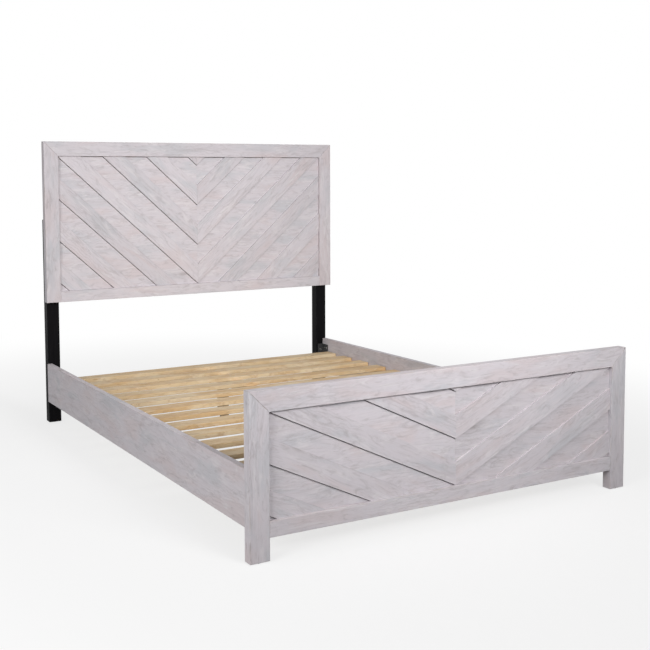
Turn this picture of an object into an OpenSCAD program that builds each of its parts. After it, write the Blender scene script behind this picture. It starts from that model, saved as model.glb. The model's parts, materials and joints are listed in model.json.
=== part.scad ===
// Queen bed frame: mitred headboard and footboard with chevron planks in two levels,
// black headboard legs, side rails, slat deck and a centre beam on levelling feet.
// Origin: middle of the footprint on the floor. X across the bed, +Y towards the head, +Z up.

/* [Overall] */
// Width over the headboard and the footboard
bed_w = 1650; // [1400:5:2050]
// Height of the headboard's top edge
head_h = 1405; // [1150:5:1700]
// Height of the footboard's top edge
foot_h = 555; // [470:5:700]
// Clear run from the footboard's back to the headboard legs' front
rail_span = 2150; // [1700:5:2600]

/* [Board frames] */
// Thickness of the headboard and footboard frames
board_t = 38; // [34:1:50]
// Face width of the mitred rails, stiles and posts
frame_w = 72; // [60:1:90]
// Height of the low rails between the stiles and between the posts
low_rail_h = 54; // [45:1:80]
// Floor to the headboard's underside
head_low = 610; // [500:5:700]
// Floor to the underside of the footboard's low rail
foot_low = 78; // [60:1:110]

/* [Chevron planks] */
// Width of one headboard plank
head_plank_w = 78; // [60:1:100]
// Width of one footboard plank
foot_plank_w = 76; // [60:1:100]
// How far the raised planks' faces lie behind the frame's face
raised_set = 9; // [6:0.5:12]
// Step from a raised plank's face down to a flat plank's face
plank_step = 7; // [4:0.5:9]
// Thickness of a flat plank
flat_plank_t = 5; // [4:0.5:7]
// Thickness of the backer panel that carries the planks
backer_t = 6; // [4:0.5:6.5]
// Depth of the groove that the backer sits in
groove_d = 8; // [6:1:12]
// Gap between neighbouring planks, and around them
plank_gap = 0.2; // [0.1:0.1:0.5]

/* [Headboard legs] */
// Width of a leg across the bed
leg_w = 62; // [50:1:70]
// Depth of a leg along the bed
leg_d = 50; // [40:1:70]
// Height of a leg's top end
leg_h = 1020; // [850:5:1100]
// How far a leg stands in from the headboard's edge
leg_inset = 10; // [4:1:12]

/* [Side rails] */
// Height of a side rail
rail_h = 191; // [160:1:230]
// Floor to a side rail's underside
rail_low = 109; // [90:1:130]
// Thickness of a side rail
rail_t = 25; // [20:1:30]
// How far a side rail's face lies in from the posts' side
rail_inset = 6; // [2:1:10]
// Gap at each end of a side rail
rail_end_gap = 0.5; // [0.3:0.1:0.8]

/* [Slat deck] */
// Number of slats
slat_n = 13; // [13:1:13]
// Width of a slat
slat_w = 80; // [60:1:100]
// Thickness of a slat
slat_t = 18; // [15:1:22]
// Gap between a slat's end and the side rail
slat_end_gap = 4; // [2:1:8]
// Height of the slats' underside
deck_z = 215; // [205:1:225]
// Side of the square slat cleats
cleat_s = 28; // [24:1:34]
// Room kept free of cleats and slats at each end of the rails
deck_end = 70; // [66:1:90]

/* [Centre support] */
// Width of the centre beam
beam_w = 60; // [50:1:80]
// Height of the centre beam
beam_h = 38; // [34:1:50]
// Side of the square centre legs
centre_leg_s = 45; // [38:1:55]
// Distance of the outer centre legs from the middle one
centre_leg_pitch = 760; // [550:5:900]

/* [Feet] */
// Radius of a levelling foot's pad
foot_r = 17; // [14:0.5:18.5]
// Thickness of a levelling foot's pad
foot_t = 8; // [6:0.5:12]
// Length of a levelling foot's stud
foot_stud_l = 38; // [32:1:45]
// Gap between a foot's pad and the leg above it
foot_gap = 0.3; // [0.2:0.1:0.5]
// Radius of a nail-on glide
glide_r = 12; // [9:0.5:16]
// Thickness of a nail-on glide
glide_t = 3; // [2:0.5:5]

/* [Hardware] */
// Radius of the bolts and of the feet's studs
bolt_r = 4; // [3:0.5:5]
// Radius of a bolt head
bolt_head_r = 7; // [6:0.5:8]
// Height of a bolt head
bolt_head_h = 4.5; // [3:0.5:6]
// Outer radius of a threaded insert
insert_r = 6.5; // [6:0.5:7.5]
// Length of a threaded insert
insert_l = 16; // [12:1:20]
// Thickness of the steel rail brackets
bracket_t = 3; // [2:0.5:4]
// Height of a rail bracket
bracket_h = 130; // [100:1:150]
// Length of a bracket's plate along the side rail
bracket_l = 60; // [50:1:64]
// Length of a bracket's plate across the post
bracket_flange = 32; // [30:1:36]
// Radius of the wood screws
screw_r = 2; // [1.5:0.25:2.5]
// Radius of a wood screw's head
screw_head_r = 4; // [3.5:0.25:5]
// Radius of the joint dowels
dowel_r = 5; // [4:0.5:6]
// Length of the joint dowels
dowel_l = 50; // [40:1:60]
// Radial clearance of every bolt, screw and dowel in its hole
fit_gap = 0.05; // [0.03:0.01:0.08]

/* [Hidden] */
$fn = 48;
half_w = bed_w / 2;
bed_l = board_t + rail_span + leg_d;
foot_y = -bed_l / 2;
post_back_y = foot_y + board_t;
leg_front_y = post_back_y + rail_span;
head_y = leg_front_y - board_t;
leg_back_y = leg_front_y + leg_d;
panel_half_w = half_w - frame_w;
foot_panel = [foot_low + low_rail_h, foot_h - frame_w];
head_panel = [head_low + low_rail_h, head_h - frame_w];
// Depths behind a board's front face
raised_face = raised_set;
flat_face = raised_face + plank_step;
backer_face = flat_face + flat_plank_t;
// Side rails, cleats and deck
rail_out_x = half_w - rail_inset;
rail_in_x = rail_out_x - rail_t;
rail_y0 = post_back_y + rail_end_gap;
rail_y1 = leg_front_y - rail_end_gap;
deck_y0 = post_back_y + deck_end;
deck_y1 = leg_front_y - deck_end;
slat_half_l = rail_in_x - slat_end_gap;
slat_pitch = (deck_y1 - deck_y0 - slat_w) / (slat_n - 1);
cleat_mid_x = rail_in_x - cleat_s / 2;
// Brackets and their fasteners
bracket_z0 = rail_low + (rail_h - bracket_h) / 2;
bracket_bolt_z = [bracket_z0 + bracket_h / 4, bracket_z0 + bracket_h * 3 / 4];
bracket_bolt_x = rail_in_x - bracket_t - (bracket_flange - bracket_t) / 2;
bracket_screw_u = [bracket_l * 0.45, bracket_l * 0.8];
bracket_screw_z = [bracket_z0 + bracket_h * 0.15, bracket_z0 + bracket_h * 0.85];
bracket_screw_l = bracket_t + rail_t * 0.7;
screw_head_h = 2.5;
// Headboard bolts
leg_mid_x = half_w - leg_inset - leg_w / 2;
leg_lap = leg_h - head_low;
head_bolt_z = [for (f = [1, 3, 5]) head_low + leg_lap * f / 6];
counterbore_h = bolt_head_h + 2;
counterbore_r = bolt_head_r + 1;
// Centre support
beam_low = deck_z - beam_h;
centre_leg_low = foot_t + foot_gap;
foot_bore_l = foot_stud_l + 6;
centre_leg_y = (deck_y0 + deck_y1) / 2;
hanger_l = [40, beam_h - 10];
// Dowels of the low rails and the mitres
low_dowel_off = low_rail_h / 4;
mitre_dowel_l = frame_w * 0.6;
far = 4000;

wood = [0.77, 0.74, 0.73];
wood_raised = [0.79, 0.76, 0.75];
black_paint = [0.11, 0.10, 0.12];
pine = [0.82, 0.72, 0.56];
steel = [0.62, 0.63, 0.65];
zinc = [0.75, 0.74, 0.70];
plastic = [0.15, 0.15, 0.16];

// ---- shared shapes ----

// A box given by its lowest and highest corners
module block(lo, hi) {
    translate(lo) cube(hi - lo);
}

// The children, drawn on the left (-X) side, and again on the right side
module both_sides() {
    children();
    mirror([1, 0, 0]) children();
}

// A flat shape drawn in X and Z, thickened towards +Y from y
module board(y, t) {
    translate([0, y + t, 0]) rotate([90, 0, 0]) linear_extrude(t) children();
}

// A rod along an axis, from a point
module rod(at, dir, r, l) {
    turn = dir == "x" ? [0, 90, 0] : dir == "-x" ? [0, -90, 0]
        : dir == "y" ? [-90, 0, 0] : dir == "-y" ? [90, 0, 0]
        : dir == "-z" ? [180, 0, 0] : [0, 0, 0];
    translate(at) rotate(turn) cylinder(h = l, r = r);
}

// A countersunk screw whose head is flush at a point; grow widens it into its hole
module screw(at, dir, l, grow = 0) {
    turn = dir == "-x" ? [0, -90, 0] : dir == "x" ? [0, 90, 0] : [180, 0, 0];
    translate(at) rotate(turn) rotate_extrude()
        polygon([
            [0, 0], [screw_head_r + grow, 0], [screw_r + grow, screw_head_h],
            [screw_r + grow, l + grow], [0, l + grow]
        ]);
}

// ---- boards: one headboard or footboard, front face at y ----

// The rail along the top, with mitred ends
module mitred_top_rail(y, top) {
    board(y, board_t) polygon([
        [-half_w, top], [half_w, top],
        [panel_half_w, top - frame_w], [-panel_half_w, top - frame_w]
    ]);
}

// The left upright, mitred at its top end
module mitred_upright(y, low, top) {
    board(y, board_t) polygon([
        [-half_w, low], [-panel_half_w, low], [-panel_half_w, top - frame_w], [-half_w, top]
    ]);
}

module low_rail(y, low) {
    block([-panel_half_w, y, low], [panel_half_w, y + board_t, low + low_rail_h]);
}

// The backer, or with room = fit_gap and more the groove around it
module backer_panel(y, panel, room = 0) {
    reach = groove_d - 0.5 + room;
    block([-panel_half_w - reach, y + backer_face - room, panel[0] - reach],
        [panel_half_w + reach, y + backer_face + backer_t + room, panel[1] + reach]);
}

// Left half of the chevron: planks parallel to the line from the panel's top outer corner
// to the foot of its centre line, counted downwards from that line; odd ones are raised
module plank_half(y, panel, w, raised) {
    tall = panel[1] - panel[0];
    lean = atan(tall / panel_half_w);
    n = ceil(tall * cos(lean) / w);
    t = raised ? flat_plank_t + plank_step : flat_plank_t;
    for (k = [-n : n - 1])
        if ((k % 2 != 0) == raised)
            board(y + backer_face - t, t) intersection() {
                translate([-panel_half_w + plank_gap, panel[0] + plank_gap])
                    square([panel_half_w - plank_gap * 1.5, tall - plank_gap * 2]);
                translate([-panel_half_w, panel[1]]) rotate(-lean)
                    translate([-far / 2, -(k + 1) * w + plank_gap / 2])
                    square([far, w - plank_gap]);
            }
}

// Dowels across the joints of one board's left corners
module corner_dowels(y, low, top, grow = 0) {
    mid_y = y + backer_face / 2;
    for (side = [-1, 1])
        rod([-panel_half_w - dowel_l / 2 - grow, mid_y,
            low + low_rail_h / 2 + side * low_dowel_off], "x", dowel_r + grow, dowel_l + grow * 2);
    translate([-half_w + frame_w / 2, mid_y, top - frame_w / 2]) rotate([0, 45, 0])
        translate([0, 0, -mitre_dowel_l / 2 - grow])
        cylinder(h = mitre_dowel_l + grow * 2, r = dowel_r + grow);
}

module dowel_holes(y, low, top) {
    both_sides() corner_dowels(y, low, top, fit_gap);
}

// ---- fasteners, drawn on the left side and cut out of what they hold ----

// Where a rail bracket's bolts enter the wood: [y of the seat, direction into the wood]
bracket_ends = [[post_back_y, "-y", 1], [leg_front_y, "y", -1]];

module bracket_bolt_set(grow = 0) {
    for (e = bracket_ends, z = bracket_bolt_z) {
        rod([-bracket_bolt_x, e[0] + e[2] * bracket_t, z], e[1], bolt_r + grow,
            bracket_t + insert_l + grow);
        if (grow == 0)
            rod([-bracket_bolt_x, e[0] + e[2] * (bracket_t + bolt_head_h), z], e[1],
                bolt_head_r, bolt_head_h);
    }
}

module bracket_insert_set(grow = 0) {
    for (e = bracket_ends, z = bracket_bolt_z)
        rod([-bracket_bolt_x, e[0], z], e[1], insert_r + grow, insert_l);
}

// Screws from a bracket's plate into the side rail
module bracket_screw_set(grow = 0) {
    for (e = bracket_ends, u = bracket_screw_u, z = bracket_screw_z)
        screw([-rail_in_x + bracket_t, e[0] + e[2] * u, z], "-x", bracket_screw_l, grow);
}

module leg_bolt_set(grow = 0) {
    for (z = head_bolt_z) {
        rod([-leg_mid_x, leg_back_y - counterbore_h, z], "-y", bolt_r + grow,
            leg_d - counterbore_h + insert_l + grow);
        rod([-leg_mid_x, leg_back_y - counterbore_h + bolt_head_h, z], "-y",
            bolt_head_r + grow, bolt_head_h);
    }
}

module leg_insert_set(grow = 0) {
    for (z = head_bolt_z)
        rod([-leg_mid_x, leg_front_y, z], "-y", insert_r + grow, insert_l);
}

cleat_y0 = rail_y0 + deck_end;
cleat_y1 = rail_y1 - deck_end;
cleat_screw_n = 8;
module cleat_screw_set(grow = 0) {
    step = (cleat_y1 - cleat_y0) / cleat_screw_n;
    for (i = [0 : cleat_screw_n - 1])
        screw([-rail_in_x + cleat_s, cleat_y0 + step * (i + 0.5), deck_z - cleat_s * 0.7],
            "-x", cleat_s + rail_t * 0.6, grow);
}

function slat_y(i) = deck_y0 + slat_pitch * (i - 1) + slat_w / 2;

// The screws of one slat: one into each cleat and two into the beam
module slat_screw_set(i, grow = 0) {
    for (x = [-cleat_mid_x, -beam_w / 4, beam_w / 4, cleat_mid_x])
        screw([x, slat_y(i), deck_z + slat_t], "-z", slat_t + cleat_s * 0.6, grow);
}

centre_leg_ys = [for (s = [-1, 0, 1]) centre_leg_y + s * centre_leg_pitch];

module hanger_bolt_set(grow = 0) {
    for (y = centre_leg_ys)
        rod([0, y, beam_low - hanger_l[0] - grow], "z", bolt_r + grow,
            hanger_l[0] + hanger_l[1] + grow * 2);
}

glide_xy = [[-half_w + frame_w / 2, foot_y + board_t / 2],
    [-leg_mid_x, leg_front_y + leg_d / 2]];
nail_r = 1.5;
nail_l = 16;
module glide_nails(grow = 0) {
    for (p = glide_xy)
        rod([p[0], p[1], glide_t], "z", nail_r + grow, nail_l + grow);
}

// ---- headboard ----

module headboard_top_rail() {
    color(wood) difference() {
        mitred_top_rail(head_y, head_h);
        backer_panel(head_y, head_panel, plank_gap);
        dowel_holes(head_y, head_low, head_h);
    }
}

module headboard_left_stile() {
    color(wood) difference() {
        mitred_upright(head_y, head_low, head_h);
        backer_panel(head_y, head_panel, plank_gap);
        dowel_holes(head_y, head_low, head_h);
        leg_insert_set(fit_gap);
    }
}

module headboard_right_stile() {
    mirror([1, 0, 0]) headboard_left_stile();
}

module headboard_low_rail() {
    color(wood) difference() {
        low_rail(head_y, head_low);
        backer_panel(head_y, head_panel, plank_gap);
        dowel_holes(head_y, head_low, head_h);
    }
}

module headboard_backer() {
    color(pine) backer_panel(head_y, head_panel);
}

module headboard_left_raised_planks() {
    color(wood_raised) plank_half(head_y, head_panel, head_plank_w, true);
}

module headboard_left_flat_planks() {
    color(wood) plank_half(head_y, head_panel, head_plank_w, false);
}

module headboard_right_raised_planks() {
    mirror([1, 0, 0]) headboard_left_raised_planks();
}

module headboard_right_flat_planks() {
    mirror([1, 0, 0]) headboard_left_flat_planks();
}

module headboard_dowels() {
    color(pine) both_sides() corner_dowels(head_y, head_low, head_h);
}

// ---- headboard legs ----

module left_headboard_leg() {
    color(black_paint) difference() {
        block([-leg_mid_x - leg_w / 2, leg_front_y, glide_t],
            [-leg_mid_x + leg_w / 2, leg_back_y, leg_h]);
        leg_bolt_set(fit_gap);
        for (z = head_bolt_z)
            rod([-leg_mid_x, leg_back_y + 1, z], "-y", counterbore_r, counterbore_h + 1);
        bracket_insert_set(fit_gap);
        glide_nails(fit_gap);
    }
}

module right_headboard_leg() {
    mirror([1, 0, 0]) left_headboard_leg();
}

module headboard_leg_bolts() {
    color(zinc) both_sides() leg_bolt_set();
}

module headboard_leg_inserts() {
    color(steel) both_sides() difference() {
        leg_insert_set();
        leg_bolt_set(fit_gap);
    }
}

// ---- footboard ----

module footboard_top_rail() {
    color(wood) difference() {
        mitred_top_rail(foot_y, foot_h);
        backer_panel(foot_y, foot_panel, plank_gap);
        dowel_holes(foot_y, foot_low, foot_h);
    }
}

module footboard_left_post() {
    color(wood) difference() {
        mitred_upright(foot_y, glide_t, foot_h);
        backer_panel(foot_y, foot_panel, plank_gap);
        dowel_holes(foot_y, foot_low, foot_h);
        bracket_insert_set(fit_gap);
        glide_nails(fit_gap);
    }
}

module footboard_right_post() {
    mirror([1, 0, 0]) footboard_left_post();
}

module footboard_low_rail() {
    color(wood) difference() {
        low_rail(foot_y, foot_low);
        backer_panel(foot_y, foot_panel, plank_gap);
        dowel_holes(foot_y, foot_low, foot_h);
    }
}

module footboard_backer() {
    color(pine) backer_panel(foot_y, foot_panel);
}

module footboard_left_raised_planks() {
    color(wood_raised) plank_half(foot_y, foot_panel, foot_plank_w, true);
}

module footboard_left_flat_planks() {
    color(wood) plank_half(foot_y, foot_panel, foot_plank_w, false);
}

module footboard_right_raised_planks() {
    mirror([1, 0, 0]) footboard_left_raised_planks();
}

module footboard_right_flat_planks() {
    mirror([1, 0, 0]) footboard_left_flat_planks();
}

module footboard_dowels() {
    color(pine) both_sides() corner_dowels(foot_y, foot_low, foot_h);
}

// ---- side rails and their brackets ----

module left_side_rail() {
    color(wood) difference() {
        block([-rail_out_x, rail_y0, rail_low], [-rail_in_x, rail_y1, rail_low + rail_h]);
        bracket_screw_set(fit_gap);
        cleat_screw_set(fit_gap);
    }
}

module right_side_rail() {
    mirror([1, 0, 0]) left_side_rail();
}

// An angle bracket: a plate on the rail's inner face and a flange on the post or leg
module rail_bracket(seat_y, into) {
    y_far = seat_y + into * bracket_l;
    y_flange = seat_y + into * bracket_t;
    z1 = bracket_z0 + bracket_h;
    difference() {
        union() {
            block([-rail_in_x, min(seat_y, y_far), bracket_z0],
                [-rail_in_x + bracket_t, max(seat_y, y_far), z1]);
            block([-rail_in_x, min(seat_y, y_flange), bracket_z0],
                [-rail_in_x + bracket_flange, max(seat_y, y_flange), z1]);
        }
        bracket_bolt_set(fit_gap);
        bracket_screw_set(fit_gap);
    }
}

module footboard_rail_brackets() {
    color(steel) both_sides() rail_bracket(post_back_y, 1);
}

module headboard_rail_brackets() {
    color(steel) both_sides() rail_bracket(leg_front_y, -1);
}

module rail_bracket_bolts() {
    color(zinc) both_sides() bracket_bolt_set();
}

module rail_bracket_inserts() {
    color(steel) both_sides() difference() {
        bracket_insert_set();
        bracket_bolt_set(fit_gap);
    }
}

module rail_bracket_screws() {
    color(zinc) both_sides() bracket_screw_set();
}

// ---- slat deck ----

module left_slat_cleat() {
    color(pine) difference() {
        block([-rail_in_x, cleat_y0, deck_z - cleat_s], [-rail_in_x + cleat_s, cleat_y1, deck_z]);
        cleat_screw_set(fit_gap);
        for (i = [1 : slat_n]) slat_screw_set(i, fit_gap);
    }
}

module right_slat_cleat() {
    mirror([1, 0, 0]) left_slat_cleat();
}

module cleat_screws() {
    color(zinc) both_sides() cleat_screw_set();
}

module slat(i) {
    color(pine) difference() {
        block([-slat_half_l, slat_y(i) - slat_w / 2, deck_z],
            [slat_half_l, slat_y(i) + slat_w / 2, deck_z + slat_t]);
        slat_screw_set(i, fit_gap);
    }
}

module slat_screws() {
    color(zinc) for (i = [1 : slat_n]) slat_screw_set(i);
}

// ---- centre support ----

module centre_beam() {
    color(pine) difference() {
        block([-beam_w / 2, deck_y0, beam_low], [beam_w / 2, deck_y1, deck_z]);
        for (i = [1 : slat_n]) slat_screw_set(i, fit_gap);
        hanger_bolt_set(fit_gap);
    }
}

module centre_leg(y) {
    s = centre_leg_s / 2;
    color(pine) difference() {
        block([-s, y - s, centre_leg_low], [s, y + s, beam_low]);
        hanger_bolt_set(fit_gap);
        rod([0, y, centre_leg_low], "z", bolt_r + 0.5, foot_bore_l);
        rod([0, y, centre_leg_low], "z", insert_r + fit_gap, insert_l);
    }
}

module centre_leg_hanger_bolts() {
    color(zinc) hanger_bolt_set();
}

module levelling_foot_inserts() {
    color(steel) for (y = centre_leg_ys) difference() {
        rod([0, y, centre_leg_low], "z", insert_r, insert_l);
        rod([0, y, centre_leg_low - 1], "z", bolt_r + fit_gap, insert_l + 2);
    }
}

// A round pad with a soft edge on a stud that screws into the leg
module levelling_foot(y) {
    edge = foot_t / 4;
    color(plastic) translate([0, y, 0]) rotate_extrude() polygon([
        [0, 0], [foot_r - edge, 0], [foot_r, edge], [foot_r, foot_t - edge],
        [foot_r - edge, foot_t], [bolt_r, foot_t], [bolt_r, foot_t + foot_stud_l],
        [0, foot_t + foot_stud_l]
    ]);
}

module floor_glides() {
    color(plastic) both_sides() {
        for (p = glide_xy) rod([p[0], p[1], 0], "z", glide_r, glide_t);
        glide_nails();
    }
}

headboard_top_rail();
headboard_left_stile();
headboard_right_stile();
headboard_low_rail();
headboard_backer();
headboard_left_raised_planks();
headboard_left_flat_planks();
headboard_right_raised_planks();
headboard_right_flat_planks();
left_headboard_leg();
right_headboard_leg();
footboard_top_rail();
footboard_left_post();
footboard_right_post();
footboard_low_rail();
footboard_backer();
footboard_left_raised_planks();
footboard_left_flat_planks();
footboard_right_raised_planks();
footboard_right_flat_planks();
left_side_rail();
right_side_rail();
left_slat_cleat();
right_slat_cleat();
slat(1);  // slat_01
slat(2);  // slat_02
slat(3);  // slat_03
slat(4);  // slat_04
slat(5);  // slat_05
slat(6);  // slat_06
slat(7);  // slat_07
slat(8);  // slat_08
slat(9);  // slat_09
slat(10);  // slat_10
slat(11);  // slat_11
slat(12);  // slat_12
slat(13);  // slat_13
centre_beam();
centre_leg(centre_leg_ys[0]);  // centre_leg_foot_end
centre_leg(centre_leg_ys[1]);  // centre_leg_middle
centre_leg(centre_leg_ys[2]);  // centre_leg_head_end
levelling_foot(centre_leg_ys[0]);  // levelling_foot_foot_end
levelling_foot(centre_leg_ys[1]);  // levelling_foot_middle
levelling_foot(centre_leg_ys[2]);  // levelling_foot_head_end
footboard_rail_brackets();
headboard_rail_brackets();
rail_bracket_bolts();
rail_bracket_inserts();
rail_bracket_screws();
headboard_leg_bolts();
headboard_leg_inserts();
cleat_screws();
slat_screws();
centre_leg_hanger_bolts();
levelling_foot_inserts();
headboard_dowels();
footboard_dowels();
floor_glides();
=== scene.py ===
"""A whitewashed chevron bed frame: boards, planks, slats and hardware around the fixed CAD frame."""
import json
import math
import random

import bmesh
import bpy
from mathutils import Matrix, Vector


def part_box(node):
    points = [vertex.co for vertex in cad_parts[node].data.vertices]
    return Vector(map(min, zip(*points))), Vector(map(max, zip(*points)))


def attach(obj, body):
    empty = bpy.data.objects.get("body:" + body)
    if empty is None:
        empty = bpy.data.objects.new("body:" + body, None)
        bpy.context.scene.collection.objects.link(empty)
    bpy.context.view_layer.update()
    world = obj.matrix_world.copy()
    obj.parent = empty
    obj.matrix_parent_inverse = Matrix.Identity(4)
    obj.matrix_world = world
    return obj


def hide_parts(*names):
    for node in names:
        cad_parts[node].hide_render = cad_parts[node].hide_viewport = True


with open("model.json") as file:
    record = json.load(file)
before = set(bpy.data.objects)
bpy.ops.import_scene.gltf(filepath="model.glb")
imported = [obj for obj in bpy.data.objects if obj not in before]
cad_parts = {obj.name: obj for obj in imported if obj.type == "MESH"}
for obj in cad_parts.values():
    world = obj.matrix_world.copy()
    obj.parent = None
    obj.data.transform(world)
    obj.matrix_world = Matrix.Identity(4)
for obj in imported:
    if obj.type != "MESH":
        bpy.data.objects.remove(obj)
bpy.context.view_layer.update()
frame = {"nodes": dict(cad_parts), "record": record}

MM = 0.001
X, Y, Z = Vector((1, 0, 0)), Vector((0, 1, 0)), Vector((0, 0, 1))
NODES = frame["nodes"]
BED = "bed"

# ---- camera ----

camera_place = Vector((-2.267, -3.890, 1.211))
camera_heading = math.radians(28.84)
camera_dip = math.radians(4.32)
camera_roll = math.radians(-0.36)


def set_camera():
    """The three-quarter view from the foot end, a little above the mattress line."""
    data = bpy.data.cameras.new("camera")
    data.lens = 56.5
    data.sensor_width = 36.0
    data.shift_x = 0.082
    data.shift_y = -0.105
    data.clip_end = 60.0
    ahead = Vector((math.sin(camera_heading) * math.cos(camera_dip),
                    math.cos(camera_heading) * math.cos(camera_dip), -math.sin(camera_dip)))
    level = Vector((math.cos(camera_heading), -math.sin(camera_heading), 0))
    above = level.cross(ahead)
    side = level * math.cos(camera_roll) + above * math.sin(camera_roll)
    up = above * math.cos(camera_roll) - level * math.sin(camera_roll)
    turn = Matrix((side, up, -ahead)).transposed().to_4x4()
    camera = bpy.data.objects.new("camera", data)
    camera.matrix_world = Matrix.Translation(camera_place) @ turn
    bpy.context.scene.collection.objects.link(camera)
    bpy.context.scene.camera = camera


# ---- shader helpers ----


def make(tree, kind, inputs=None, **settings):
    """One node, with its settings, and its inputs set or linked."""
    node = tree.nodes.new(kind)
    for name, value in settings.items():
        setattr(node, name, value)
    for socket, value in (inputs or {}).items():
        if isinstance(value, bpy.types.NodeSocket):
            tree.links.new(value, node.inputs[socket])
        else:
            node.inputs[socket].default_value = value
    return node


def stretch(tree, vector, scale):
    """The vector, scaled along each of its axes."""
    return make(tree, "ShaderNodeVectorMath", {0: vector, 1: scale}, operation="MULTIPLY").outputs[0]


def noise(tree, vector, scale, detail=4.0, rough=0.55, distortion=0.0):
    scaled = stretch(tree, vector, scale)
    return make(tree, "ShaderNodeTexNoise", {
        "Vector": scaled, "Scale": 1.0, "Detail": detail, "Roughness": rough,
        "Distortion": distortion}).outputs[0]


def ramp(tree, value, low, high, to_low=0.0, to_high=1.0):
    """The value's stretch from low to high, carried to to_low and to_high."""
    return make(tree, "ShaderNodeMapRange", {
        "Value": value, "From Min": low, "From Max": high,
        "To Min": to_low, "To Max": to_high}, interpolation_type="SMOOTHSTEP").outputs[0]


def math_node(tree, operation, a, b=0.0):
    return make(tree, "ShaderNodeMath", {0: a, 1: b}, operation=operation).outputs[0]


def blend(tree, factor, a, b, mode="MIX"):
    node = make(tree, "ShaderNodeMix", {0: factor, 6: a, 7: b}, data_type="RGBA", blend_type=mode)
    return node.outputs[2]


def shader_group(name, inputs, outputs):
    """An empty shader group with named inputs, each (name, kind, default), and named outputs."""
    tree = bpy.data.node_groups.new(name, "ShaderNodeTree")
    for label, kind, default in inputs:
        socket = tree.interface.new_socket(label, in_out="INPUT", socket_type=kind)
        socket.default_value = default
    for label, kind in outputs:
        tree.interface.new_socket(label, in_out="OUTPUT", socket_type=kind)
    return tree, tree.nodes.new("NodeGroupInput").outputs, tree.nodes.new("NodeGroupOutput")


VECTOR, COLOR, FLOAT = "NodeSocketVector", "NodeSocketColor", "NodeSocketFloat"
SURFACE_OUT = [("Color", COLOR), ("Roughness", FLOAT), ("Height", FLOAT)]


def send(tree, output, **values):
    for name, value in values.items():
        tree.links.new(value, output.inputs[name])


# ---- shared surface effects ----


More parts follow.
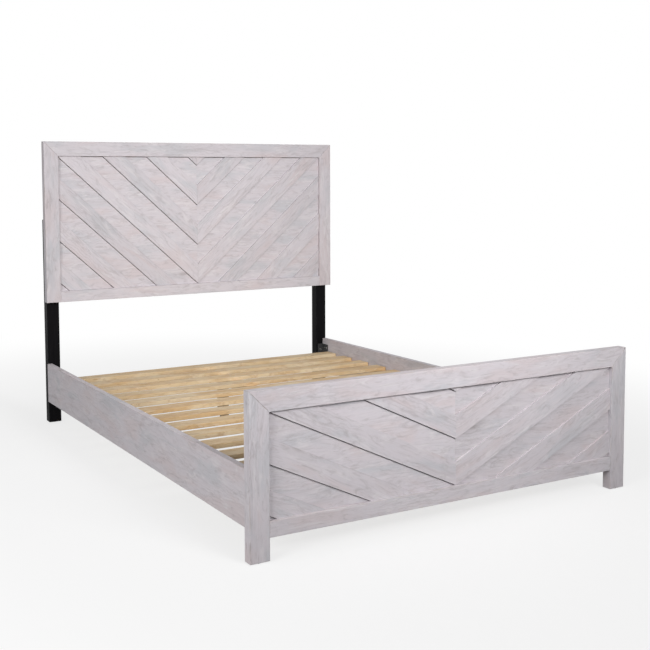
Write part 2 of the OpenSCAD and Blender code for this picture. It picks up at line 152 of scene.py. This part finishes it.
def build_wood_group():
    """Long grain, colour patches, knots, cracks, saw marks, rubbed edges and painted shadow lines
    along the plank grooves. Grain is in metres: x runs along the board, y across its face and z through
    it."""
    tree, given, out = shader_group("board grain", [
        ("Grain", VECTOR, (0, 0, 0)), ("Tone", FLOAT, 0.0), ("WearAndShade", FLOAT, 0.0),
        ("Light", COLOR, (0.6, 0.57, 0.58, 1)), ("Warm", COLOR, (0.58, 0.53, 0.51, 1)),
        ("Cool", COLOR, (0.53, 0.53, 0.55, 1)), ("Dark", COLOR, (0.3, 0.26, 0.25, 1)),
        ("Edge", COLOR, (0.62, 0.58, 0.57, 1)), ("Bare", COLOR, (0.5, 0.45, 0.42, 1)),
        ("PaintedShadow", COLOR, (0.1, 0.09, 0.09, 1)), ("Streaks", FLOAT, 1.0), ("Knots", FLOAT, 1.0),
        ("Sawn", FLOAT, 1.0)], SURFACE_OUT)
    grain = given["Grain"]
    sway = noise(tree, grain, (2.2, 5.0, 5.0), 2.0)
    bend = make(tree, "ShaderNodeCombineXYZ", {1: ramp(tree, sway, 0.2, 0.8, -0.016, 0.016)}).outputs[0]
    flow = make(tree, "ShaderNodeVectorMath", {0: grain, 1: bend}, operation="ADD").outputs[0]

    patches = noise(tree, flow, (3.2, 11.0, 11.0), 3.0, 0.5, 0.5)
    color = blend(tree, ramp(tree, patches, 0.50, 0.66), given["Light"], given["Warm"])
    color = blend(tree, ramp(tree, patches, 0.48, 0.34), color, given["Cool"])
    wash = noise(tree, flow, (9.0, 34.0, 34.0), 4.0, 0.6, 0.8)
    color = blend(tree, ramp(tree, wash, 0.50, 0.70, 0.0, 0.75), color, given["Edge"])

    smudge = noise(tree, flow, (13.0, 42.0, 42.0), 5.0, 0.7, 1.2)
    color = blend(tree, ramp(tree, smudge, 0.48, 0.72, 0.0, 0.42), color, given["Dark"])

    broad = noise(tree, flow, (5.0, 60.0, 60.0), 4.0, 0.6, 0.6)
    fine = noise(tree, flow, (11.0, 240.0, 240.0), 4.0, 0.65)
    fibre = noise(tree, grain, (30.0, 1100.0, 1100.0), 2.0)
    rings = make(tree, "ShaderNodeTexWave", {
        "Vector": stretch(tree, flow, (0.8, 1.0, 1.0)), "Scale": 24.0, "Distortion": 9.0,
        "Detail": 3.0, "Detail Scale": 1.2, "Detail Roughness": 0.6},
        wave_type="BANDS", bands_direction="Y").outputs["Fac"]
    ring_zone = ramp(tree, noise(tree, grain, (2.6, 9.0, 9.0), 2.0), 0.50, 0.64)
    lines = math_node(tree, "MULTIPLY", ramp(tree, fine, 0.50, 0.74), 0.28)
    lines = math_node(tree, "ADD", lines, ramp(tree, broad, 0.52, 0.76, 0.0, 0.30))
    lines = math_node(tree, "ADD", lines, math_node(
        tree, "MULTIPLY", ramp(tree, rings, 0.66, 1.0, 0.0, 0.26), ring_zone))
    lines = math_node(tree, "ADD", lines, ramp(tree, fibre, 0.35, 0.75, 0.0, 0.10))
    lines = math_node(tree, "MULTIPLY", lines, given["Streaks"])
    color = blend(tree, lines, color, given["Dark"])

    cells = make(tree, "ShaderNodeTexVoronoi", {
        "Vector": stretch(tree, flow, (2.6, 8.0, 2.0)), "Scale": 1.0, "Randomness": 0.9})
    rare = make(tree, "ShaderNodeSeparateColor", {0: cells.outputs["Color"]}).outputs[0]
    chosen = ramp(tree, rare, 0.60, 0.66)
    heart = ramp(tree, cells.outputs["Distance"], 0.10, 0.03)
    halo = ramp(tree, cells.outputs["Distance"], 0.30, 0.08, 0.0, 0.35)
    knots = math_node(tree, "MULTIPLY", math_node(tree, "ADD", heart, halo), chosen)
    knots = math_node(tree, "MULTIPLY", knots, given["Knots"])
    color = blend(tree, math_node(tree, "MULTIPLY", knots, 0.42), color, given["Dark"])

    crack = ramp(tree, noise(tree, flow, (9.0, 300.0, 60.0), 3.0, 0.5), 0.68, 0.74)
    crack = math_node(tree, "MULTIPLY", crack, given["Knots"])
    color = blend(tree, math_node(tree, "MULTIPLY", crack, 0.5), color, given["Dark"])

    saw = make(tree, "ShaderNodeTexWave", {
        "Vector": grain, "Scale": 62.0, "Distortion": 1.6, "Detail": 1.0},
        wave_type="BANDS", bands_direction="X").outputs["Fac"]
    saw_zone = ramp(tree, noise(tree, grain, (2.0, 8.0, 8.0), 2.0), 0.52, 0.66)
    sawn = math_node(tree, "MULTIPLY", math_node(tree, "MULTIPLY", saw, saw_zone), given["Sawn"])
    color = blend(tree, math_node(tree, "MULTIPLY", sawn, 0.10), color, given["Edge"])

    tone = ramp(tree, given["Tone"], -1.0, 1.0, 0.97, 1.03)
    shade = make(tree, "ShaderNodeCombineColor", {0: tone, 1: tone, 2: tone}).outputs[0]
    color = blend(tree, 1.0, color, shade, "MULTIPLY")
    rub = math_node(tree, "MULTIPLY", math_node(tree, "MAXIMUM", given["WearAndShade"]),
                    ramp(tree, noise(tree, grain, (14.0, 60.0, 60.0), 3.0), 0.48, 0.62, 0.1, 0.8))
    color = blend(tree, rub, color, given["Bare"])
    # Painted shadow: the dark line where the raised planks and the top rail shade the grooves of the
    # flat planks.
    painted_shadow = ramp(tree, given["WearAndShade"], -0.2, -1.0, 0.0, 0.9)
    color = blend(tree, painted_shadow, color, given["PaintedShadow"])

    dips = math_node(tree, "ADD", math_node(tree, "MULTIPLY", lines, 0.6), crack)
    height = math_node(tree, "SUBTRACT", math_node(tree, "MULTIPLY", sawn, 0.5), dips)
    rough = ramp(tree, broad, 0.3, 0.7, 0.52, 0.66)
    rough = math_node(tree, "ADD", rough, math_node(tree, "MULTIPLY", lines, 0.10))
    send(tree, out, Color=color, Roughness=rough, Height=height)
    return tree


def build_paint_group():
    """A thin coat with faint brush grain, soft patches of sheen and rubbed edges."""
    tree, given, out = shader_group("painted coat", [
        ("Grain", VECTOR, (0, 0, 0)), ("WearAndShade", FLOAT, 0.0), ("Coat", COLOR, (0.01, 0.01, 0.01, 1)),
        ("Rubbed", COLOR, (0.1, 0.1, 0.1, 1)), ("Speckle", FLOAT, 0.0), ("Gloss", FLOAT, 0.4)],
        SURFACE_OUT)
    grain = given["Grain"]
    brush = noise(tree, grain, (9.0, 420.0, 420.0), 4.0, 0.6)
    cloud = noise(tree, grain, (6.0, 14.0, 14.0), 3.0)
    orange = noise(tree, grain, (900.0, 900.0, 900.0), 2.0)
    color = blend(tree, ramp(tree, brush, 0.40, 0.75, 0.0, 0.35), given["Coat"], given["Rubbed"])
    dust = ramp(tree, noise(tree, grain, (260.0, 260.0, 260.0), 2.0), 0.66, 0.74)
    color = blend(tree, math_node(tree, "MULTIPLY", dust, given["Speckle"]), color, given["Rubbed"])
    rub = math_node(tree, "MULTIPLY", given["WearAndShade"],
                    ramp(tree, noise(tree, grain, (70.0, 150.0, 150.0), 3.0), 0.50, 0.62))
    color = blend(tree, rub, color, given["Rubbed"])
    rough = math_node(tree, "ADD", given["Gloss"], ramp(tree, cloud, 0.3, 0.7, -0.06, 0.08))
    height = math_node(tree, "ADD", math_node(tree, "MULTIPLY", brush, 0.6),
                       math_node(tree, "MULTIPLY", orange, 0.5))
    send(tree, out, Color=color, Roughness=rough, Height=height)
    return tree


def build_metal_group():
    """Fine turning marks, dull plating clouds and a few scratches."""
    tree, given, out = shader_group("plated metal", [
        ("Place", VECTOR, (0, 0, 0)), ("Plate", COLOR, (0.6, 0.6, 0.6, 1)),
        ("Tarnish", COLOR, (0.3, 0.3, 0.28, 1)), ("Gloss", FLOAT, 0.3)], SURFACE_OUT)
    place = given["Place"]
    cloud = noise(tree, place, (120.0, 120.0, 120.0), 4.0)
    marks = noise(tree, place, (300.0, 2200.0, 2200.0), 2.0)
    scratch = ramp(tree, noise(tree, place, (90.0, 1500.0, 300.0), 2.0), 0.68, 0.74)
    color = blend(tree, ramp(tree, cloud, 0.40, 0.70, 0.0, 0.6), given["Plate"], given["Tarnish"])
    color = blend(tree, ramp(tree, marks, 0.45, 0.7, 0.0, 0.2), color, given["Tarnish"])
    rough = math_node(tree, "ADD", given["Gloss"], ramp(tree, cloud, 0.3, 0.7, -0.05, 0.15))
    height = math_node(tree, "SUBTRACT", math_node(tree, "MULTIPLY", marks, 0.4), scratch)
    send(tree, out, Color=color, Roughness=rough, Height=height)
    return tree


GROUPS = {"wood": build_wood_group(), "paint": build_paint_group(), "metal": build_metal_group()}


def finish_material(name, kind, values, place, bump, metallic=0.0, specular=0.5):
    """A material whose colour, roughness and bump come from one of the shared groups."""
    material = bpy.data.materials.new(name)
    material.use_nodes = True
    tree = material.node_tree
    tree.nodes.clear()
    group = make(tree, "ShaderNodeGroup", node_tree=GROUPS[kind])
    if place == "grain":
        for attribute, socket in (("grain", "Grain"), ("tone", "Tone"), ("wear_and_shade", "WearAndShade")):
            if socket in group.inputs:
                source = make(tree, "ShaderNodeAttribute", attribute_name=attribute)
                tree.links.new(source.outputs["Vector" if socket == "Grain" else "Fac"],
                               group.inputs[socket])
    else:
        source = make(tree, "ShaderNodeTexCoord")
        tree.links.new(source.outputs["Object"], group.inputs[0])
    for label, value in values.items():
        group.inputs[label].default_value = value
    relief = make(tree, "ShaderNodeBump", {
        "Height": group.outputs["Height"], "Strength": 0.6, "Distance": bump})
    shader = make(tree, "ShaderNodeBsdfPrincipled", {
        "Base Color": group.outputs["Color"], "Roughness": group.outputs["Roughness"],
        "Normal": relief.outputs[0], "Metallic": metallic, "Specular IOR Level": specular})
    make(tree, "ShaderNodeOutputMaterial", {0: shader.outputs[0]})
    return material


def srgb(red, green, blue):
    """A display colour from 0 to 255, as the linear colour that a shader takes."""
    def linear(c):
        c /= 255
        return c / 12.92 if c <= 0.04045 else ((c + 0.055) / 1.055) ** 2.4
    return (linear(red), linear(green), linear(blue), 1.0)


# The darkest colour is painted shadow for the lines along the plank grooves; the rest are the
# whitewash's own colours.
WHITEWASH = {"Light": srgb(204, 198, 203), "Warm": srgb(203, 193, 196), "Cool": srgb(194, 192, 197),
             "Dark": srgb(154, 146, 147), "Edge": srgb(213, 208, 211),
             "Bare": srgb(182, 172, 168), "PaintedShadow": srgb(100, 92, 92)}
PINE = {"Light": srgb(222, 196, 156), "Warm": srgb(214, 180, 134), "Cool": srgb(226, 206, 172),
        "Dark": srgb(160, 112, 68), "Edge": srgb(232, 212, 180), "Bare": srgb(200, 168, 124)}
HARDBOARD = {"Light": srgb(150, 120, 92), "Warm": srgb(142, 110, 82), "Cool": srgb(156, 130, 104),
             "Dark": srgb(104, 78, 56), "Edge": srgb(168, 142, 116),
             "Bare": srgb(120, 92, 68)}

MATERIALS = {
    "whitewashed_wood": finish_material(
        "whitewashed wood", "wood", {**WHITEWASH, "Streaks": 0.75, "Knots": 1.0}, "grain", 0.0006,
        specular=0.35),
    "bare_pine": finish_material(
        "bare pine", "wood", {**PINE, "Streaks": 0.8, "Knots": 1.0, "Sawn": 0.5}, "grain", 0.0004,
        specular=0.3),
    "backer_board": finish_material(
        "brown hardboard", "wood", {**HARDBOARD, "Streaks": 0.35, "Knots": 0.0, "Sawn": 0.0},
        "grain", 0.0002, specular=0.25),
    "black_paint": finish_material(
        "black painted wood", "paint",
        {"Coat": srgb(11, 10, 12), "Rubbed": srgb(32, 31, 34), "Gloss": 0.55}, "grain", 0.0003,
        specular=0.05),
    "black_steel": finish_material(
        "black powder coat", "paint",
        {"Coat": srgb(34, 34, 36), "Rubbed": srgb(88, 88, 90), "Speckle": 0.4, "Gloss": 0.5},
        "grain", 0.0001),
    "black_plastic": finish_material(
        "black nylon", "paint",
        {"Coat": srgb(40, 40, 42), "Rubbed": srgb(70, 70, 72), "Speckle": 0.3, "Gloss": 0.55},
        "object", 0.0001),
    "zinc_steel": finish_material(
        "zinc plated steel", "metal",
        {"Plate": srgb(205, 203, 198), "Tarnish": srgb(160, 158, 150), "Gloss": 0.3}, "object",
        0.00005, metallic=1.0),
    "insert_steel": finish_material(
        "yellow zinc steel", "metal",
        {"Plate": srgb(196, 180, 130), "Tarnish": srgb(150, 136, 96), "Gloss": 0.35}, "object",
        0.00005, metallic=1.0),
}

# ---- boards ----

SLOT_OF = {part["node"]: part["material_slot"] for part in frame["record"]["subparts"]}

weld_gap = 2e-6
flat_angle = math.radians(0.5)
sharp_angle = math.radians(25)
shortest_rounded = 12 * MM


def clean_copy(node):
    """The CAD node's mesh with its loose triangles joined and its flat faces made whole."""
    bm = bmesh.new()
    bm.from_mesh(NODES[node].data)
    bmesh.ops.remove_doubles(bm, verts=bm.verts, dist=weld_gap)
    bmesh.ops.dissolve_limit(bm, angle_limit=flat_angle, verts=bm.verts, edges=bm.edges)
    return bm


def loose_pieces(bm):
    """The mesh's faces, as one list for each solid, in order along the bed and across it."""
    left = set(bm.faces)
    pieces = []
    while left:
        stack = [left.pop()]
        piece = []
        while stack:
            face = stack.pop()
            piece.append(face)
            for edge in face.edges:
                for other in edge.link_faces:
                    if other in left:
                        left.remove(other)
                        stack.append(other)
        pieces.append(piece)

    def place(piece):
        middle = sum((f.calc_center_median() for f in piece), Vector()) / len(piece)
        return round(middle.x, 4), round(middle.z, 4), round(middle.y, 4)
    return sorted(pieces, key=place)


def faces_up(face):
    """Whether the face looks upward, as the side of a flat plank under a raised one does."""
    return face.normal.z > 0.1


def soften(bm, radius, grooved):
    """Rounds the long sharp edges, or only the upper ones beside grooves. Returns the rounding."""
    sharp = [e for e in bm.edges if len(e.link_faces) == 2
             and e.calc_length() > shortest_rounded and e.calc_face_angle() > sharp_angle]
    if grooved:
        sharp = [e for e in sharp if any(faces_up(f) for f in e.link_faces)
                 and any(f.normal.y < -0.9 for f in e.link_faces)]
    made = bmesh.ops.bevel(bm, geom=sharp, offset=radius, offset_type="OFFSET", segments=2,
                           profile=0.5, affect="EDGES", material=-1, clamp_overlap=True)
    return set(made["faces"])


def mark_grain(bm, along, face_axis, rounded, seed, grooved):
    """Writes each solid's grain place, its own tone, where its rounded edges are rubbed, and where the
    flat planks carry a painted shadow line.
    """
    grain_layer = bm.loops.layers.float_vector.new("grain")
    tone_layer = bm.loops.layers.float.new("tone")
    wear_and_shade_layer = bm.loops.layers.float.new("wear_and_shade")
    across = face_axis.cross(along)
    draw = random.Random(seed)
    for piece in [bm.faces] if grooved else loose_pieces(bm):
        start = Vector([draw.uniform(0, log_span) for _ in range(3)])
        tone = draw.uniform(-1, 1)
        for face in piece:
            wear_and_shade = 1.0 if face in rounded else 0.0
            # Upward faces of the flat planks get -1: a painted shadow line under the raised planks and
            # the top rail.
            if grooved and faces_up(face):
                wear_and_shade = -1.0
            for loop in face.loops:
                co = loop.vert.co
                loop[grain_layer] = start + Vector((co.dot(along), co.dot(across),
                                                    co.dot(face_axis)))
                loop[tone_layer] = tone
                loop[wear_and_shade_layer] = wear_and_shade


def add_piece(bm, name, body, slot, nodes=()):
    """The finished mesh as an object that rides on a body and stands for its CAD nodes."""
    mesh = bpy.data.meshes.new(name)
    bm.to_mesh(mesh)
    bm.free()
    for polygon in mesh.polygons:
        polygon.use_smooth = False
    piece = bpy.data.objects.new(name, mesh)
    bpy.context.scene.collection.objects.link(piece)
    mesh.materials.append(MATERIALS[slot])
    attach(piece, body)
    if nodes:
        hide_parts(*nodes)
    return piece


def board(node, along, face_axis, radius, seed, grooved=False):
    """A board or a set of boards in place of a CAD node, with softened edges and its own grain."""
    bm = clean_copy(node)
    rounded = soften(bm, radius, grooved)
    mark_grain(bm, along, face_axis, rounded, seed, grooved)
    return add_piece(bm, node + "_wood", BED, SLOT_OF[node], [node])


log_span = 40
frame_edge = 1.6 * MM
plank_edge = 0.6 * MM
groove_edge = 2.4 * MM
slat_edge = 2.0 * MM
leg_edge = 2.5 * MM
thin_edge = 0.5 * MM
bracket_edge = 0.6 * MM


def plank_direction(panel, side):
    """The way a chevron's planks run: down to the panel's middle from its top outer corner."""
    low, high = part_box(panel)
    lean = math.atan2(high.z - low.z, high.x - low.x)
    return Vector((-side * math.cos(lean), 0, -math.sin(lean)))


def build_headboard():
    board("headboard_top_rail", X, -Y, frame_edge, 11)
    board("headboard_left_stile", Z, -Y, frame_edge, 12)
    board("headboard_right_stile", Z, -Y, frame_edge, 13)
    board("headboard_low_rail", X, -Y, frame_edge, 14)
    board("headboard_backer", X, -Y, thin_edge, 15)
    board("headboard_dowels", X, -Y, thin_edge, 18)
    board("left_headboard_leg", Z, -Y, leg_edge, 16)
    board("right_headboard_leg", Z, -Y, leg_edge, 17)


def build_footboard():
    board("footboard_top_rail", X, -Y, frame_edge, 21)
    board("footboard_left_post", Z, -Y, frame_edge, 22)
    board("footboard_right_post", Z, -Y, frame_edge, 23)
    board("footboard_low_rail", X, -Y, frame_edge, 24)
    board("footboard_backer", X, -Y, thin_edge, 25)
    board("footboard_dowels", X, -Y, thin_edge, 26)


def build_planks():
    """The chevrons of both boards: raised planks down the diagonals over a level ground."""
    seed = 31
    for end in ("headboard", "footboard"):
        for side_name, side in (("left", -1), ("right", 1)):
            for level in ("raised", "flat"):
                node = f"{end}_{side_name}_{level}_planks"
                flat = level == "flat"
                along = X if flat else plank_direction(node, side)
                board(node, along, -Y, groove_edge if flat else plank_edge, seed, grooved=flat)
                seed += 1


def build_rails_and_deck():
    board("left_side_rail", Y, -X, frame_edge, 51)
    board("right_side_rail", Y, X, frame_edge, 52)
    board("left_slat_cleat", Y, X, slat_edge, 53)
    board("right_slat_cleat", Y, -X, slat_edge, 54)
    for number in range(1, 14):
        board(f"slat_{number:02d}", X, Z, slat_edge, 60 + number)
    board("centre_beam", Y, Z, slat_edge, 80)
    for seed, place in enumerate(("foot_end", "middle", "head_end"), 81):
        board(f"centre_leg_{place}", Z, -Y, slat_edge, seed)
    board("footboard_rail_brackets", Z, -X, bracket_edge, 91)
    board("headboard_rail_brackets", Z, -X, bracket_edge, 92)


def finish_cad_nodes():
    """Puts the right finish on every CAD node that stays in view."""
    for name, node in NODES.items():
        slot = SLOT_OF[name]
        node.data.materials.clear()
        node.data.materials.append(MATERIALS[slot])


# ---- stage and light ----

ambient = 0.32
floor_shade = 0.3
floor_white = 0.72
floor_pale = 0.95
floor_half = 14.0


def add_lamp(name, place, target, size, power, beam=180):
    """A square soft lamp at a place, turned to its target, that the camera doesn't see."""
    data = bpy.data.lights.new(name, "AREA")
    data.shape = "SQUARE"
    data.size = size
    data.energy = power
    data.spread = math.radians(beam)
    lamp = bpy.data.objects.new(name, data)
    lamp.location = place
    lamp.rotation_euler = (Vector(target) - Vector(place)).to_track_quat("-Z", "Y").to_euler()
    lamp.visible_camera = False
    bpy.context.scene.collection.objects.link(lamp)


def seen_rays(tree):
    """One for the rays that show the white surroundings, none for the rays that light the bed."""
    path = make(tree, "ShaderNodeLightPath")
    seen = math_node(tree, "MAXIMUM", path.outputs["Is Camera Ray"], path.outputs["Is Glossy Ray"])
    return math_node(tree, "MAXIMUM", seen, path.outputs["Is Transmission Ray"])


def floor_material():
    """Pale floor that whitens away from the bed and keeps its shadow beside it."""
    material = bpy.data.materials.new("pale floor")
    material.use_nodes = True
    tree = material.node_tree
    tree.nodes.clear()
    place = make(tree, "ShaderNodeTexCoord").outputs["Object"]
    away = make(tree, "ShaderNodeVectorMath", {0: stretch(tree, place, (1.0, 0.8, 1.0))},
                operation="LENGTH").outputs["Value"]
    white = math_node(tree, "MULTIPLY", ramp(tree, away, 1.1, 3.2, floor_white, 1.0), seen_rays(tree))
    shade = ramp(tree, seen_rays(tree), 0.0, 1.0, floor_shade, floor_pale)
    tint = make(tree, "ShaderNodeCombineColor", {0: shade, 1: shade, 2: shade}).outputs[0]
    lit = make(tree, "ShaderNodeBsdfDiffuse", {0: tint})
    glow = make(tree, "ShaderNodeEmission", {0: (1, 1, 1, 1), 1: 1.0})
    mixed = make(tree, "ShaderNodeMixShader", {0: white, 1: lit.outputs[0], 2: glow.outputs[0]})
    make(tree, "ShaderNodeOutputMaterial", {0: mixed.outputs[0]})
    return material


def build_stage():
    """The pale floor."""
    bm = bmesh.new()
    bmesh.ops.create_grid(bm, x_segments=1, y_segments=1, size=floor_half)
    mesh = bpy.data.meshes.new("floor")
    bm.to_mesh(mesh)
    bm.free()
    floor = bpy.data.objects.new("floor", mesh)
    bpy.context.scene.collection.objects.link(floor)
    mesh.materials.append(floor_material())


def build_light():
    """White surroundings, a soft key from the foot end and a fill from the left."""
    world = bpy.data.worlds.new("studio")
    bpy.context.scene.world = world
    world.use_nodes = True
    tree = world.node_tree
    tree.nodes.clear()
    strength = ramp(tree, seen_rays(tree), 0.0, 1.0, ambient, 1.0)
    background = make(tree, "ShaderNodeBackground", {0: (1, 1, 1, 1), 1: strength})
    make(tree, "ShaderNodeOutputWorld", {0: background.outputs[0]})
    add_lamp("key", (0.1, -3.6, 2.2), (0.05, 1.03, 1.0), 1.2, 25, beam=76)
    add_lamp("left fill", (-4.4, -2.4, 1.8), (-0.8, -0.4, 0.3), 1.8, 104)


set_camera()
build_headboard()
build_footboard()
build_planks()
build_rails_and_deck()
finish_cad_nodes()
build_stage()
build_light()
bpy.context.scene.view_settings.view_transform = "Standard"
